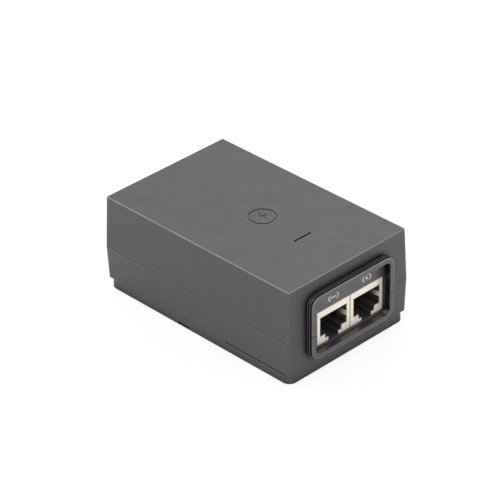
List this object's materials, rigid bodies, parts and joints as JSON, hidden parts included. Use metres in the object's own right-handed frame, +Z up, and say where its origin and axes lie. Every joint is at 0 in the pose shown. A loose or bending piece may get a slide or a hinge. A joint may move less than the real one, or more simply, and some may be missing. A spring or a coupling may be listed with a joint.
{
  "type": "power over ethernet injector",
  "caption": "Plastic power brick with shielded network jacks in a grooved bezel, a mains inlet behind, and a slide-on wall bracket.",
  "frame": {"origin": "centre of the wall bracket's underside", "axes": "+Z up out of the roof, -Y out of the network jacks, +Y out of the mains inlet"},
  "size_m": [0.054, 0.0858, 0.0342],
  "materials": {
    "housing_plastic": "fine texture, matte",
    "bracket_plastic": "fine texture, matte",
    "shield_metal": "nickel plated, satin",
    "insert_plastic": "moulded",
    "inlet_plastic": "moulded",
    "contact_gold": "gold flashed",
    "pin_brass": "nickel flashed",
    "screw_steel": "zinc plated",
    "board_laminate": "solder mask",
    "lamp": "clear resin",
    "light_guide": "smoked",
    "lead_insulation": "smooth",
    "fuse_plastic": "moulded",
    "disc_coating": "dipped",
    "capacitor_box": "moulded",
    "ferrite": "sintered, dark",
    "copper_wire": "enamelled copper",
    "winding_tape": "polyester tape",
    "bobbin_plastic": "moulded",
    "can_sleeve": "shrink sleeve",
    "heatsink_metal": "mill finish",
    "package_resin": "moulded resin"
  },
  "bodies": {
    "housing": {"top_shell": "housing_plastic", "bottom_shell": "housing_plastic", "housing_screws": "screw_steel", "lan_jack_shield": "shield_metal", "lan_jack_insert": "insert_plastic", "lan_contact_tails": "contact_gold", "poe_jack_shield": "shield_metal", "poe_jack_insert": "insert_plastic", "poe_contact_tails": "contact_gold", "circuit_board": "board_laminate", "status_led": "lamp", "light_pipe": "light_guide", "ac_inlet_body": "inlet_plastic", "ac_inlet_pins": "pin_brass", "mains_leads": "lead_insulation", "fuse": "fuse_plastic", "varistor": "disc_coating", "x_capacitor": "capacitor_box", "common_mode_choke_core": "ferrite", "common_mode_choke_windings": "copper_wire", "bridge_rectifier": "package_resin", "bulk_capacitor": "can_sleeve", "primary_heatsink": "heatsink_metal", "secondary_heatsink": "heatsink_metal", "switching_transistor": "package_resin", "rectifier_diode": "package_resin", "heatsink_screws": "screw_steel", "transformer_core": "ferrite", "transformer_bobbin": "bobbin_plastic", "transformer_winding": "winding_tape", "output_capacitors": "can_sleeve", "output_inductor": "ferrite", "safety_capacitor": "disc_coating", "optocoupler": "package_resin", "controller_ic": "package_resin", "network_magnetics": "package_resin"},
    "bracket": {"mounting_bracket": "bracket_plastic"},
    "latch": {"bracket_latch": "bracket_plastic"},
    "lan_wires": {"lan_contacts": "contact_gold"},
    "poe_wires": {"poe_contacts": "contact_gold"}
  },
  "joints": [
    {"name": "bracket_slide", "type": "slide", "parent": "housing", "child": "bracket", "axis": [0, 1, 0], "range_m": [0, 0.009]},
    {"name": "latch_press", "type": "hinge", "parent": "bracket", "child": "latch", "pos_m": [-0.0125, 0.0061, 0.00215], "axis": [0, -1, 0], "range_deg": [0, 2.7], "stiffness_Nm_per_rad": 1.5},
    {"name": "lan_contacts_flex", "type": "hinge", "parent": "housing", "child": "lan_wires", "pos_m": [-0.0062, -0.0384, 0.019], "axis": [1, 0, 0], "range_deg": [0, 12], "stiffness_Nm_per_rad": 0.05},
    {"name": "poe_contacts_flex", "type": "hinge", "parent": "housing", "child": "poe_wires", "pos_m": [0.0088, -0.0384, 0.019], "axis": [1, 0, 0], "range_deg": [0, 12], "stiffness_Nm_per_rad": 0.05}
  ]
}
